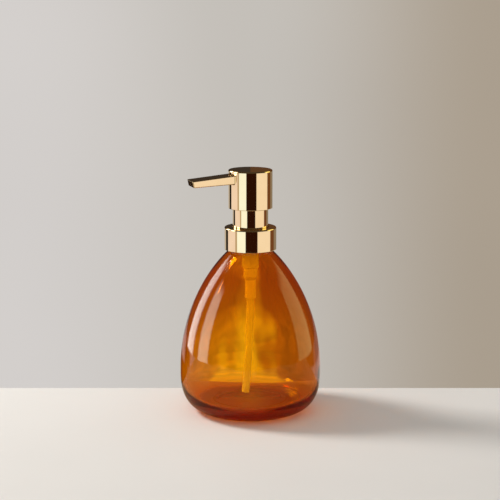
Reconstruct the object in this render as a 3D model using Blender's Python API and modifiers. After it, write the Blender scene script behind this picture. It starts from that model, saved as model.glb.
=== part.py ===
"""Soap pump dispenser: a squat glass bottle with a screw-on metal-clad lotion pump.

Units are metres and +Z is up. The origin is the middle of the bottle's foot, on the
table, and the spout points along -X. Every named object is one real piece, and every
round piece turns about the Z axis, so each joint's axis passes through the origin.
"""
import math

import bmesh
import bpy
from mathutils import Matrix, Vector

MM = 0.001          # one millimetre in metres
GAP = 0.3 * MM      # room left between two pieces that touch
METAL = 0.5 * MM    # sheet thickness of the gold-coloured shells
EDGE_ROUND = 0.6 * MM

# Glass bottle, outside
BOTTLE_RADIUS = 44.7 * MM
WIDEST_Z = 27.5 * MM            # height of the widest circle
FOOT_RADIUS = 25.0 * MM         # outer edge of the flat ring it stands on
HEEL_REACH = 21.4 * MM          # how far the heel's curve runs out level from the foot
HEEL_DROP = 6.0 * MM            # and how far it falls straight from the widest circle
PUSH_UP_RADIUS = 23.0 * MM      # inner edge of the foot's ring
PUSH_UP_HEIGHT = 1.8 * MM
SHOULDER_RADIUS = 13.0 * MM     # where the shoulder runs into the neck
SHOULDER_Z = 104.3 * MM
SHOULDER_SLOPE = math.radians(41.8)
SHOULDER_RUN = 15.3 * MM        # how far the shoulder's curve follows that slope
BELLY_RISE = 39.1 * MM          # and how far it rises straight from the widest circle
NECK_RADIUS = 12.4 * MM
NECK_FOOT_Z = SHOULDER_Z + 1.2 * MM
NECK_TOP = 112.8 * MM

# Glass bottle, inside
WALL = 3.2 * MM
FLOOR_Z = 6.0 * MM
NECK_BORE = 9.8 * MM
BORE_END_Z = SHOULDER_Z - 2.3 * MM
INSIDE_HEEL_INSET = 5.2 * MM    # from the bottle's radius to the end of the level run
INSIDE_HEEL_DROP = 7.0 * MM
INSIDE_BELLY_RISE = 37.0 * MM
INSIDE_SHOULDER_RUN = 14.0 * MM

# Screw thread of the neck, 28 mm finish with one start
THREAD_PITCH = 4.23 * MM
THREAD_CREST = 13.6 * MM
RIDGE_WIDTH = 1.5 * MM
RIDGE_ROOTING = 0.4 * MM        # how deep a ridge is sunk in its wall
NECK_RIDGE_Z = 106.9 * MM       # middle of the glass ridge where it starts
NECK_RIDGE_TURNS = 1.15
CAP_RIDGE_START = 0.25          # turns along the glass ridge where the cap's ridge starts
CAP_RIDGE_TURNS = 0.9
CAP_RIDGE_CREST = 12.9 * MM

# Pieces stacked on the neck, by thickness and then by height
FLANGE_RADIUS = 12.3 * MM
GASKET_THICKNESS = 0.8 * MM
GASKET_INSET = 0.1 * MM
HOUSING_FLANGE = 1.1 * MM
GUIDE_FLANGE = 1.0 * MM
INSERT_ROOF = 0.9 * MM
GASKET_Z = NECK_TOP + GAP
HOUSING_FLANGE_Z = GASKET_Z + GASKET_THICKNESS + GAP
HOUSING_TOP = HOUSING_FLANGE_Z + HOUSING_FLANGE
GUIDE_FLANGE_Z = HOUSING_TOP + GAP
INSERT_ROOF_Z = GUIDE_FLANGE_Z + GUIDE_FLANGE + GAP
COLLAR_ROOF_Z = INSERT_ROOF_Z + INSERT_ROOF + GAP
COLLAR_TOP = COLLAR_ROOF_Z + METAL

# Collar
COLLAR_RADIUS = 16.35 * MM
COLLAR_HOLE = 11.6 * MM
COLLAR_BORE = COLLAR_RADIUS - METAL
INSERT_RADIUS = COLLAR_BORE - 0.35 * MM
INSERT_BORE = 14.0 * MM
INSERT_BOTTOM = SHOULDER_Z + 0.6 * MM

# Pump housing: flange, plug in the neck, barrel, valve chamber and a tail for the tube
BOSS_RADIUS = 8.8 * MM
BOSS_BOTTOM = 112.2 * MM
BOSS_CHAMFER = 0.8 * MM
BARREL_RADIUS = 5.3 * MM
BARREL_BORE = 4.4 * MM
BARREL_END_Z = 91.2 * MM
BARREL_CHAMFER = 0.4 * MM
BARREL_FLOOR = BARREL_END_Z + 1.2 * MM
VENT_Z = BOSS_BOTTOM - 0.9 * MM
VENT_RADIUS = 0.45 * MM
CHAMBER_RADIUS = 4.35 * MM
CHAMBER_BORE = 2.75 * MM
CHAMBER_END_Z = 85.5 * MM
CHAMBER_TAPER = 2.0 * MM
TAIL_RADIUS = 3.4 * MM
TAIL_END_Z = 73.3 * MM

# Ball valves
BALL_RADIUS = 1.9 * MM
THROAT = 1.2 * MM               # radius of the hole that a ball closes
SEAT_Z = CHAMBER_END_Z - 1.3 * MM
SEAT_TOP_Z = SEAT_Z + 2.1 * MM
SEAT_FLOOR = 1.4 * MM
CAGE_FLANGE = 1.0 * MM
CAGE_NOSE = 2.7 * MM            # how far the cage reaches down into the chamber
CAGE_NOSE_RADIUS = CHAMBER_BORE - GAP
CAGE_BORE = 1.5 * MM
CAGE_SLOTS = 3
CAGE_SLOT_WIDTH = 1.0 * MM
CAGE_SLOT_ROOF = 0.8 * MM
CAGE_Z = BARREL_FLOOR + GAP
CAGE_TOP = CAGE_Z + CAGE_FLANGE

# Dip tube
TUBE_RADIUS = 2.55 * MM
TUBE_BORE = 1.8 * MM
TUBE_TOP_Z = SEAT_Z - SEAT_FLOOR - GAP
TUBE_END_Z = 11.0 * MM
TUBE_LEAN = 3.7 * MM            # how far its lower end stands off the axis, towards -X
TUBE_STEPS = 13

# Stem guide, its seal and the sleeve round it
SLEEVE_RADIUS = 11.2 * MM
SLEEVE_WALL = 0.7 * MM
SLEEVE_BOTTOM = GUIDE_FLANGE_Z + GUIDE_FLANGE + GAP
SLEEVE_TOP = 133.0 * MM
GUIDE_TOP = 132.6 * MM
GUIDE_WALL = 1.2 * MM
TOWER_RADIUS = SLEEVE_RADIUS - SLEEVE_WALL - GAP
SPIGOT_RADIUS = 7.3 * MM        # the guide's short plug in the housing's mouth
SPIGOT_DEPTH = 1.0 * MM
WEB_TOP = GUIDE_FLANGE_Z + 1.6 * MM
SEAL_RADIUS = 6.5 * MM
SEAL_HEIGHT = 1.3 * MM
SEAL_LIP_HEIGHT = 0.9 * MM
SEAL_LIP_REACH = 0.6 * MM
SEAL_CUP_HEIGHT = 1.8 * MM
SEAL_CUP_WALL = 0.8 * MM

# Return spring
SPRING_BOTTOM = CAGE_TOP + GAP
SPRING_LENGTH = 15.0 * MM
SPRING_RADIUS = 3.4 * MM
SPRING_WIRE = 0.6 * MM
SPRING_TURNS = 6.5
SPRING_STEPS = 14               # points in one turn

# Plunger: stem, piston and the post that holds the piston in the stem
STEM_RADIUS = 3.6 * MM
STEM_BORE = 2.3 * MM
STEM_HOLE = STEM_RADIUS + GAP
STEM_TOP = 147.3 * MM
POST_RADIUS = STEM_BORE - GAP
POST_BORE = 1.1 * MM
POST_FLANGE = 1.0 * MM
POST_FLANGE_Z = SPRING_BOTTOM + SPRING_LENGTH + GAP
POST_TAIL_RADIUS = 2.4 * MM
POST_TAIL = 2.8 * MM
POST_REACH = 8.0 * MM           # how far the post goes up inside the stem
PISTON_RADIUS = BARREL_BORE - GAP
PISTON_WAIST = PISTON_RADIUS - 0.4 * MM
PISTON_HEIGHT = 3.5 * MM
PISTON_LIP = 0.8 * MM
PISTON_LIP_TAPER = 0.4 * MM
PISTON_Z = POST_FLANGE_Z + POST_FLANGE + GAP
PISTON_TOP = PISTON_Z + PISTON_HEIGHT
STEM_BOTTOM = PISTON_TOP + GAP
POCKET_BORE = 2.55 * MM         # the outlet ball's pocket in the top of the stem
POCKET_TOP_Z = STEM_TOP - 1.2 * MM
POCKET_SEAT_Z = POCKET_TOP_Z - 1.9 * MM
POCKET_FLOOR = 0.7 * MM

# Pump head
HEAD_RADIUS = 13.87 * MM
HEAD_BOTTOM = 130.5 * MM
HEAD_TOP = 154.8 * MM
HUB_RADIUS = 5.2 * MM
HUB_BOTTOM = 138.0 * MM
CORE_RADIUS = HEAD_RADIUS - METAL - GAP
CORE_BOTTOM = 143.8 * MM
CORE_TOP = HEAD_TOP - METAL - GAP
CAVITY_RADIUS = STEM_BORE + GAP
CAVITY_TOP = CORE_TOP - 2.2 * MM
WINDOW_CORNER = 0.6 * MM

# Spout, a tapering bar whose top edge droops more than its bottom edge
SPOUT_WIDTH = 12.5 * MM
SPOUT_REACH = 39.4 * MM         # from the pump's axis to the tip's top edge
SPOUT_ROOT = 7.0 * MM           # from the axis to the end hidden in the core
SPOUT_TOP_AT_SHELL = 152.0 * MM
SPOUT_BOTTOM_AT_SHELL = 146.5 * MM
SHELL_CROSSING = 12.5 * MM      # distance from the axis at which the last two are given
SPOUT_TOP_DROOP = math.radians(5.3)
SPOUT_BOTTOM_DROOP = math.radians(2.6)
TIP_LEAN = 0.9 * MM             # the tip's top edge overhangs its bottom edge by this
SPOUT_EDGE = 0.35 * MM
LINER_RADIUS = 1.3 * MM
LINER_BORE = 0.85 * MM
LINER_START = CAVITY_RADIUS + 0.8 * MM

# Facets round a turn
FINE_STEPS = 48
STEPS = 32
SMALL_STEPS = 24
VENT_STEPS = 12

OVERRUN = 2.0 * MM              # how far a cutter runs past what it cuts
SMOOTH_ANGLE = math.radians(32)
MERGE = 0.00001

# Finishes: colour, roughness, metallic, transmission
AMBER_GLASS = ((0.62, 0.20, 0.02), 0.03, 0.0, 1.0)
GOLD = ((0.90, 0.68, 0.36), 0.08, 1.0, 0.0)
STEEL = ((0.74, 0.74, 0.76), 0.2, 1.0, 0.0)
NATURAL_PLASTIC = ((0.87, 0.87, 0.84), 0.4, 0.0, 0.0)
TUBE_PLASTIC = ((0.87, 0.87, 0.83), 0.3, 0.0, 0.4)
SOFT_PLASTIC = ((0.80, 0.81, 0.80), 0.55, 0.0, 0.0)
DARK_PLASTIC = ((0.10, 0.08, 0.07), 0.4, 0.0, 0.0)


# ---------------------------------------------------------------- shared tools

def clear_scene():
    for old in list(bpy.data.objects):
        bpy.data.objects.remove(old)


def new_collection(name):
    made = bpy.data.collections.new(name)
    bpy.context.scene.collection.children.link(made)
    return made


clear_scene()
PARTS = new_collection("soap_pump_dispenser")
CUTTERS = new_collection("cutters")


def arc(centre, radius, start_deg, end_deg, steps):
    """Points of a circular arc in the (radius, height) plane."""
    points = []
    for i in range(steps + 1):
        angle = math.radians(start_deg + (end_deg - start_deg) * i / steps)
        points.append((centre[0] + radius * math.cos(angle), centre[1] + radius * math.sin(angle)))
    return points


def bezier(start, handle_a, handle_b, end, steps):
    """Points of a cubic curve in the (radius, height) plane, both ends included."""
    points = []
    for i in range(steps + 1):
        t = i / steps
        s = 1 - t
        weights = (s ** 3, 3 * s * s * t, 3 * s * t * t, t ** 3)
        knots = (start, handle_a, handle_b, end)
        points.append(tuple(sum(w * k[axis] for w, k in zip(weights, knots)) for axis in (0, 1)))
    return points


def finish_mesh(obj):
    """Applies the modifiers, closes what a screw leaves open and shades round faces smooth."""
    evaluated = obj.evaluated_get(bpy.context.evaluated_depsgraph_get())
    mesh = bpy.data.meshes.new_from_object(evaluated)
    obj.modifiers.clear()
    obj.data = mesh
    shape = bmesh.new()
    shape.from_mesh(mesh)
    bmesh.ops.remove_doubles(shape, verts=shape.verts, dist=MERGE / 10)
    open_edges = [edge for edge in shape.edges if edge.is_boundary]
    if open_edges:
        bmesh.ops.holes_fill(shape, edges=open_edges, sides=0)
    shape.to_mesh(mesh)
    shape.free()
    mesh.shade_smooth()
    mesh.set_sharp_from_angle(angle=SMOOTH_ANGLE)
    return obj


def turned(name, outline, steps, closed=True, turns=1.0, rise=0.0):
    """A turned piece: its outline in the XZ plane, run down the outer side, with a Screw."""
    mesh = bpy.data.meshes.new(name)
    edges = [(i, i + 1) for i in range(len(outline) - 1)]
    if closed:
        edges.append((len(outline) - 1, 0))
    mesh.from_pydata([(r, 0, z) for r, z in outline], edges, [])
    obj = bpy.data.objects.new(name, mesh)
    PARTS.objects.link(obj)
    screw = obj.modifiers.new("turn", "SCREW")
    screw.axis = "Z"
    screw.angle = 2 * math.pi * turns
    screw.screw_offset = rise
    screw.steps = screw.render_steps = steps
    screw.use_merge_vertices = rise == 0.0
    screw.merge_threshold = MERGE
    return finish_mesh(obj)


def refile(obj, collection):
    """Moves an object out of every collection it is in, and into this one."""
    for old in list(obj.users_collection):
        old.objects.unlink(obj)
    collection.objects.link(obj)
    return obj


def combine(obj, tool, operation):
    """Cuts the tool out of the piece, or welds it on, and files the tool with the cutters."""
    refile(tool, CUTTERS)
    tool.hide_render = True
    tool.display_type = "WIRE"
    boolean = obj.modifiers.new(operation.lower(), "BOOLEAN")
    boolean.operation = operation
    boolean.object = tool
    boolean.solver = "EXACT"


def box_tool(name, low, high, edge=0.0):
    """A block between two corners, its edges along X rounded where an edge radius is given."""
    bpy.ops.mesh.primitive_cube_add(size=1)
    obj = bpy.context.object
    obj.name = obj.data.name = name
    low, high = Vector(low), Vector(high)
    size = high - low
    obj.data.transform(Matrix.Translation((low + high) / 2) @ Matrix.Diagonal((*size, 1)))
    if edge:
        shape = bmesh.new()
        shape.from_mesh(obj.data)
        along_x = [e for e in shape.edges if abs(e.verts[0].co.x - e.verts[1].co.x) > size.x / 2]
        bmesh.ops.bevel(shape, geom=along_x, offset=edge, segments=4, profile=0.5, affect="EDGES")
        shape.to_mesh(obj.data)
        shape.free()
    return obj


def rod_tool(name, start, end, radius, sides=SMALL_STEPS):
    """A round bar between two points."""
    start, end = Vector(start), Vector(end)
    bpy.ops.mesh.primitive_cylinder_add(vertices=sides, radius=radius, depth=(end - start).length)
    obj = bpy.context.object
    obj.name = obj.data.name = name
    turn = (end - start).to_track_quat("Z", "Y").to_matrix().to_4x4()
    obj.data.transform(Matrix.Translation((start + end) / 2) @ turn)
    return obj


def wire(name, points, radius, rings):
    """A mesh tube with filled ends that follows the points."""
    curve = bpy.data.curves.new(name, "CURVE")
    curve.dimensions = "3D"
    curve.bevel_depth = radius
    curve.bevel_resolution = rings
    curve.use_fill_caps = True
    spline = curve.splines.new("POLY")
    spline.points.add(len(points) - 1)
    for knot, point in zip(spline.points, points):
        knot.co = (*point, 1)
    guide = bpy.data.objects.new(name + "_line", curve)
    PARTS.objects.link(guide)
    return curve_to_mesh(guide, name)


def curve_to_mesh(guide, name):
    """Turns a curve object into a closed mesh object of that name, and removes the curve."""
    bpy.context.view_layer.update()
    evaluated = guide.evaluated_get(bpy.context.evaluated_depsgraph_get())
    mesh = bpy.data.meshes.new_from_object(evaluated)
    mesh.name = name
    shape = bmesh.new()
    shape.from_mesh(mesh)
    bmesh.ops.remove_doubles(shape, verts=shape.verts, dist=MERGE / 10)
    bmesh.ops.recalc_face_normals(shape, faces=shape.faces)
    shape.to_mesh(mesh)
    shape.free()
    obj = bpy.data.objects.new(name, mesh)
    obj.matrix_world = guide.matrix_world.copy()
    PARTS.objects.link(obj)
    bpy.data.objects.remove(guide)
    return obj


def paint(obj, finish):
    """Gives a piece its own material."""
    colour, roughness, metallic, transmission = finish
    material = bpy.data.materials.new(obj.name)
    material.use_nodes = True
    shader = material.node_tree.nodes["Principled BSDF"]
    shader.inputs["Base Color"].default_value = (*colour, 1)
    shader.inputs["Roughness"].default_value = roughness
    shader.inputs["Metallic"].default_value = metallic
    shader.inputs["Transmission Weight"].default_value = transmission
    obj.data.materials.clear()
    obj.data.materials.append(material)
    return obj


# -------------------------------------------------------------- glass bottle

def push_up(steps=4):
    """The shallow dome under the bottle, from the foot's ring to the middle."""
    points = []
    for i in range(steps + 1):
        share = 1 - i / steps
        points.append((PUSH_UP_RADIUS * share, PUSH_UP_HEIGHT * (1 - share ** 2)))
    return points


def bottle_outline():
    """From the middle of the inside floor, up the inside, over the lip and down the outside."""
    down_shoulder = Vector((math.cos(SHOULDER_SLOPE), -math.sin(SHOULDER_SLOPE)))
    inside_radius = BOTTLE_RADIUS - WALL
    bore_end = Vector((NECK_BORE, BORE_END_Z))
    shoulder_start = Vector((SHOULDER_RADIUS, SHOULDER_Z))
    inside_heel = bezier(
        (FOOT_RADIUS - WALL, FLOOR_Z), (BOTTLE_RADIUS - INSIDE_HEEL_INSET, FLOOR_Z),
        (inside_radius, WIDEST_Z - INSIDE_HEEL_DROP), (inside_radius, WIDEST_Z), 8)
    inside_shoulder = bezier(
        (inside_radius, WIDEST_Z), (inside_radius, WIDEST_Z + INSIDE_BELLY_RISE),
        bore_end + INSIDE_SHOULDER_RUN * down_shoulder, bore_end, 11)
    lip = arc((NECK_RADIUS - EDGE_ROUND, NECK_TOP - EDGE_ROUND), EDGE_ROUND, 90, 0, 3)
    shoulder = bezier(
        shoulder_start, shoulder_start + SHOULDER_RUN * down_shoulder,
        (BOTTLE_RADIUS, WIDEST_Z + BELLY_RISE), (BOTTLE_RADIUS, WIDEST_Z), 13)
    heel = bezier(
        (BOTTLE_RADIUS, WIDEST_Z), (BOTTLE_RADIUS, WIDEST_Z - HEEL_DROP),
        (FOOT_RADIUS + HEEL_REACH, 0), (FOOT_RADIUS, 0), 10)
    return (
        [(0, FLOOR_Z)] + inside_heel + inside_shoulder[1:]
        + [(NECK_BORE, NECK_TOP)] + lip
        + [(NECK_RADIUS, NECK_FOOT_Z)] + shoulder + heel[1:] + push_up()
    )


def ridge(name, root, crest, start_z, start_turn, turns):
    """One helical ridge of the thread, from its root in the wall to its crest."""
    half, tip = RIDGE_WIDTH / 2, RIDGE_WIDTH / 4
    section = [(crest, tip), (crest, -tip), (root, -half), (root, half)]
    if crest < root:
        section = [(root, half), (root, -half), (crest, -tip), (crest, tip)]
    outline = [(r, z + start_z + start_turn * THREAD_PITCH) for r, z in section]
    obj = turned(name, outline, round(STEPS * turns), turns=turns, rise=turns * THREAD_PITCH)
    obj.data.transform(Matrix.Rotation(2 * math.pi * start_turn, 4, "Z"))
    return obj


bottle = turned("bottle", bottle_outline(), FINE_STEPS, closed=False)
neck_ridge = ridge(
    "neck_ridge", NECK_RADIUS - RIDGE_ROOTING, THREAD_CREST, NECK_RIDGE_Z, 0.0, NECK_RIDGE_TURNS)
combine(bottle, neck_ridge, "UNION")
finish_mesh(bottle)
paint(bottle, AMBER_GLASS)


# ------------------------------------------- pieces stacked on the bottle's neck

neck_gasket = turned("neck_gasket", [
    (FLANGE_RADIUS - GASKET_INSET, GASKET_Z + GASKET_THICKNESS),
    (FLANGE_RADIUS - GASKET_INSET, GASKET_Z),
    (BOSS_RADIUS + GAP + GASKET_INSET, GASKET_Z),
    (BOSS_RADIUS + GAP + GASKET_INSET, GASKET_Z + GASKET_THICKNESS),
], STEPS)
paint(neck_gasket, SOFT_PLASTIC)

pump_housing = turned("pump_housing", [
    (FLANGE_RADIUS, HOUSING_TOP),
    (FLANGE_RADIUS, HOUSING_FLANGE_Z),
    (BOSS_RADIUS, HOUSING_FLANGE_Z),
    (BOSS_RADIUS, BOSS_BOTTOM + BOSS_CHAMFER),
    (BOSS_RADIUS - BOSS_CHAMFER, BOSS_BOTTOM),
    (BARREL_RADIUS, BOSS_BOTTOM),
    (BARREL_RADIUS, BARREL_END_Z + BARREL_CHAMFER),
    (BARREL_RADIUS - BARREL_CHAMFER, BARREL_END_Z),
    (CHAMBER_RADIUS, BARREL_END_Z),
    (CHAMBER_RADIUS, CHAMBER_END_Z),
    (TAIL_RADIUS, CHAMBER_END_Z - CHAMBER_TAPER),
    (TAIL_RADIUS, TAIL_END_Z),
    (TUBE_RADIUS + GAP, TAIL_END_Z),
    (TUBE_RADIUS + GAP, SEAT_Z - SEAT_FLOOR),
    (THROAT, SEAT_Z - SEAT_FLOOR),
    (THROAT, SEAT_Z),
    (CHAMBER_BORE, SEAT_TOP_Z),
    (CHAMBER_BORE, BARREL_FLOOR),
    (BARREL_BORE, BARREL_FLOOR),
    (BARREL_BORE, HOUSING_TOP - SPIGOT_DEPTH),
    (SPIGOT_RADIUS + GAP, HOUSING_TOP - SPIGOT_DEPTH),
    (SPIGOT_RADIUS + GAP, HOUSING_TOP),
], STEPS)
vent_cut = rod_tool(
    "vent_cut", (0, BARREL_BORE / 2, VENT_Z), (0, BARREL_RADIUS + OVERRUN, VENT_Z),
    VENT_RADIUS, VENT_STEPS)
combine(pump_housing, vent_cut, "DIFFERENCE")
finish_mesh(pump_housing)
paint(pump_housing, NATURAL_PLASTIC)

# The valve cage holds the inlet ball down and the spring up
valve_cage = turned("valve_cage", [
    (BARREL_BORE - GAP, CAGE_TOP),
    (BARREL_BORE - GAP, CAGE_Z),
    (CAGE_NOSE_RADIUS, CAGE_Z),
    (CAGE_NOSE_RADIUS, CAGE_Z - CAGE_NOSE),
    (CAGE_BORE, CAGE_Z - CAGE_NOSE),
    (CAGE_BORE, CAGE_TOP),
], SMALL_STEPS)
for i in range(CAGE_SLOTS):
    slot = box_tool(
        f"cage_slot_{i}", (CAGE_BORE / 2, -CAGE_SLOT_WIDTH / 2, CAGE_Z - CAGE_NOSE - OVERRUN),
        (CAGE_NOSE_RADIUS + OVERRUN, CAGE_SLOT_WIDTH / 2, CAGE_Z - CAGE_SLOT_ROOF))
    slot.data.transform(Matrix.Rotation(2 * math.pi * i / CAGE_SLOTS, 4, "Z"))
    combine(valve_cage, slot, "DIFFERENCE")
finish_mesh(valve_cage)
paint(valve_cage, NATURAL_PLASTIC)


def ball_rest_height(throat_z, top_z, top_radius):
    """Height of the middle of a ball that hangs one gap clear of a conical seat."""
    half_angle = math.atan2(top_radius - THROAT, top_z - throat_z)
    apex = throat_z - THROAT / math.tan(half_angle)
    return apex + (BALL_RADIUS + GAP) / math.sin(half_angle)


def valve_ball(name, height):
    bpy.ops.mesh.primitive_uv_sphere_add(segments=16, ring_count=10, radius=BALL_RADIUS)
    obj = refile(bpy.context.object, PARTS)
    obj.name = obj.data.name = name
    obj.location.z = height
    obj.data.shade_smooth()
    return paint(obj, STEEL)


inlet_ball = valve_ball("inlet_ball", ball_rest_height(SEAT_Z, SEAT_TOP_Z, CHAMBER_BORE))


def dip_tube_points(extra):
    """The dip tube's middle line, which bows away from the axis like a parabola."""
    top = TUBE_TOP_Z + extra
    bottom = TUBE_END_Z - extra
    points = []
    for i in range(TUBE_STEPS + 1):
        z = top + (bottom - top) * i / TUBE_STEPS
        below_tail = max(0.0, TAIL_END_Z - z) / (TAIL_END_Z - TUBE_END_Z)
        points.append((-TUBE_LEAN * below_tail ** 2, 0, z))
    return points


dip_tube = wire("dip_tube", dip_tube_points(0.0), TUBE_RADIUS, 4)
combine(dip_tube, wire("tube_bore", dip_tube_points(OVERRUN / 2), TUBE_BORE, 4), "DIFFERENCE")
finish_mesh(dip_tube)
paint(dip_tube, TUBE_PLASTIC)

# The stem guide has a flange, a web round the stem and the tower that the sleeve covers
stem_guide = turned("stem_guide", [
    (TOWER_RADIUS, GUIDE_TOP),
    (TOWER_RADIUS, GUIDE_FLANGE_Z + GUIDE_FLANGE),
    (FLANGE_RADIUS, GUIDE_FLANGE_Z + GUIDE_FLANGE),
    (FLANGE_RADIUS, GUIDE_FLANGE_Z),
    (SPIGOT_RADIUS, GUIDE_FLANGE_Z),
    (SPIGOT_RADIUS, GUIDE_FLANGE_Z - SPIGOT_DEPTH),
    (STEM_HOLE, GUIDE_FLANGE_Z - SPIGOT_DEPTH),
    (STEM_HOLE, WEB_TOP),
    (SEAL_RADIUS + GAP, WEB_TOP),
    (SEAL_RADIUS + GAP, WEB_TOP + SEAL_CUP_HEIGHT),
    (SEAL_RADIUS + GAP + SEAL_CUP_WALL, WEB_TOP + SEAL_CUP_HEIGHT),
    (SEAL_RADIUS + GAP + SEAL_CUP_WALL, WEB_TOP),
    (TOWER_RADIUS - GUIDE_WALL, WEB_TOP),
    (TOWER_RADIUS - GUIDE_WALL, GUIDE_TOP),
], STEPS)
paint(stem_guide, NATURAL_PLASTIC)

seal_z = WEB_TOP + GAP
stem_seal = turned("stem_seal", [
    (SEAL_RADIUS, seal_z + SEAL_HEIGHT),
    (SEAL_RADIUS, seal_z),
    (STEM_HOLE + SEAL_LIP_REACH, seal_z),
    (STEM_HOLE, seal_z + SEAL_LIP_HEIGHT),
    (STEM_HOLE, seal_z + SEAL_HEIGHT),
], STEPS)
paint(stem_seal, SOFT_PLASTIC)

sleeve = turned("sleeve", [
    (SLEEVE_RADIUS, SLEEVE_TOP),
    (SLEEVE_RADIUS, SLEEVE_BOTTOM),
    (SLEEVE_RADIUS - SLEEVE_WALL, SLEEVE_BOTTOM),
    (SLEEVE_RADIUS - SLEEVE_WALL, SLEEVE_TOP),
], FINE_STEPS)
paint(sleeve, GOLD)


# --------------------------------------------------------------------- plunger

def spring_points():
    """Middle line of the spring's wire: a close turn at each end and open turns between."""
    close_pitch = SPRING_WIRE + GAP
    rise = SPRING_LENGTH - SPRING_WIRE
    open_pitch = (rise - 2 * close_pitch) / (SPRING_TURNS - 2)
    points = []
    for i in range(round(SPRING_TURNS * SPRING_STEPS) + 1):
        turn = i / SPRING_STEPS
        close_turns = min(turn, 1) + max(0.0, turn - (SPRING_TURNS - 1))
        z = close_pitch * close_turns + open_pitch * (turn - close_turns)
        angle = 2 * math.pi * turn
        points.append((SPRING_RADIUS * math.cos(angle), SPRING_RADIUS * math.sin(angle),
                       SPRING_BOTTOM + SPRING_WIRE / 2 + z))
    return points


return_spring = wire("return_spring", spring_points(), SPRING_WIRE / 2, 2)
return_spring.data.shade_smooth()
paint(return_spring, STEEL)

piston_post = turned("piston_post", [
    (POST_RADIUS, STEM_BOTTOM + POST_REACH),
    (POST_RADIUS, POST_FLANGE_Z + POST_FLANGE),
    (STEM_RADIUS, POST_FLANGE_Z + POST_FLANGE),
    (STEM_RADIUS, POST_FLANGE_Z),
    (POST_TAIL_RADIUS, POST_FLANGE_Z),
    (POST_TAIL_RADIUS, POST_FLANGE_Z - POST_TAIL),
    (POST_BORE, POST_FLANGE_Z - POST_TAIL),
    (POST_BORE, STEM_BOTTOM + POST_REACH),
], SMALL_STEPS)
paint(piston_post, NATURAL_PLASTIC)

piston = turned("piston", [
    (PISTON_RADIUS, PISTON_TOP),
    (PISTON_RADIUS, PISTON_TOP - PISTON_LIP),
    (PISTON_WAIST, PISTON_TOP - PISTON_LIP - PISTON_LIP_TAPER),
    (PISTON_WAIST, PISTON_Z + PISTON_LIP + PISTON_LIP_TAPER),
    (PISTON_RADIUS, PISTON_Z + PISTON_LIP),
    (PISTON_RADIUS, PISTON_Z),
    (POST_RADIUS + GAP, PISTON_Z),
    (POST_RADIUS + GAP, PISTON_TOP),
], SMALL_STEPS)
paint(piston, SOFT_PLASTIC)

stem = turned("stem", [
    (STEM_RADIUS, STEM_TOP),
    (STEM_RADIUS, STEM_BOTTOM),
    (STEM_BORE, STEM_BOTTOM),
    (STEM_BORE, POCKET_SEAT_Z - POCKET_FLOOR),
    (THROAT, POCKET_SEAT_Z - POCKET_FLOOR),
    (THROAT, POCKET_SEAT_Z),
    (POCKET_BORE, POCKET_TOP_Z),
    (POCKET_BORE, STEM_TOP),
], SMALL_STEPS)
paint(stem, NATURAL_PLASTIC)

outlet_ball = valve_ball(
    "outlet_ball", ball_rest_height(POCKET_SEAT_Z, POCKET_TOP_Z, POCKET_BORE))


# ------------------------------------------------------------------ pump head

head_shell = turned("head_shell", [(0, HEAD_TOP)] + arc(
    (HEAD_RADIUS - EDGE_ROUND, HEAD_TOP - EDGE_ROUND), EDGE_ROUND, 90, 0, 3) + [
    (HEAD_RADIUS, HEAD_BOTTOM),
    (HEAD_RADIUS - METAL, HEAD_BOTTOM),
    (HEAD_RADIUS - METAL, HEAD_TOP - METAL),
    (0, HEAD_TOP - METAL),
], FINE_STEPS, closed=False)

actuator_core = turned("actuator_core", [
    (0, CORE_TOP),
    (CORE_RADIUS, CORE_TOP),
    (CORE_RADIUS, CORE_BOTTOM),
    (HUB_RADIUS, CORE_BOTTOM),
    (HUB_RADIUS, HUB_BOTTOM),
    (STEM_HOLE, HUB_BOTTOM),
    (STEM_HOLE, STEM_TOP + GAP),
    (CAVITY_RADIUS, STEM_TOP + GAP),
    (CAVITY_RADIUS, CAVITY_TOP),
    (0, CAVITY_TOP),
], STEPS, closed=False)


def spout_top(x):
    """Height of the spout's top edge at a distance from the axis."""
    return SPOUT_TOP_AT_SHELL - (x - SHELL_CROSSING) * math.tan(SPOUT_TOP_DROOP)


def spout_bottom(x):
    """Height of its bottom edge there."""
    return SPOUT_BOTTOM_AT_SHELL - (x - SHELL_CROSSING) * math.tan(SPOUT_BOTTOM_DROOP)


def spout_middle(x):
    """A point of the spout's middle line at a distance from the axis."""
    return (-x, 0, (spout_top(x) + spout_bottom(x)) / 2)


def spout_blank():
    """The bar before it is bored: its side outline, given the spout's width."""
    curve = bpy.data.curves.new("spout", "CURVE")
    curve.dimensions = "2D"
    curve.fill_mode = "BOTH"
    curve.extrude = SPOUT_WIDTH / 2
    spline = curve.splines.new("POLY")
    lower_reach = SPOUT_REACH - TIP_LEAN
    corners = [
        (-SPOUT_ROOT, spout_top(SPOUT_ROOT)), (-SPOUT_REACH, spout_top(SPOUT_REACH)),
        (-lower_reach, spout_bottom(lower_reach)), (-SPOUT_ROOT, spout_bottom(SPOUT_ROOT)),
    ]
    spline.points.add(len(corners) - 1)
    for knot, (x, z) in zip(spline.points, corners):
        knot.co = (x, z, 0, 1)
    spline.use_cyclic_u = True
    guide = bpy.data.objects.new("spout_outline", curve)
    guide.rotation_euler.x = math.radians(90)
    PARTS.objects.link(guide)
    return curve_to_mesh(guide, "spout")


spout = spout_blank()
softened = spout.modifiers.new("edges", "BEVEL")
softened.width = SPOUT_EDGE
softened.segments = 2
softened.limit_method = "ANGLE"
combine(spout, rod_tool("spout_cut", spout_middle(SPOUT_ROOT - OVERRUN),
                        spout_middle(SPOUT_REACH + OVERRUN), LINER_RADIUS + GAP), "DIFFERENCE")
finish_mesh(spout)
paint(spout, GOLD)

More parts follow.
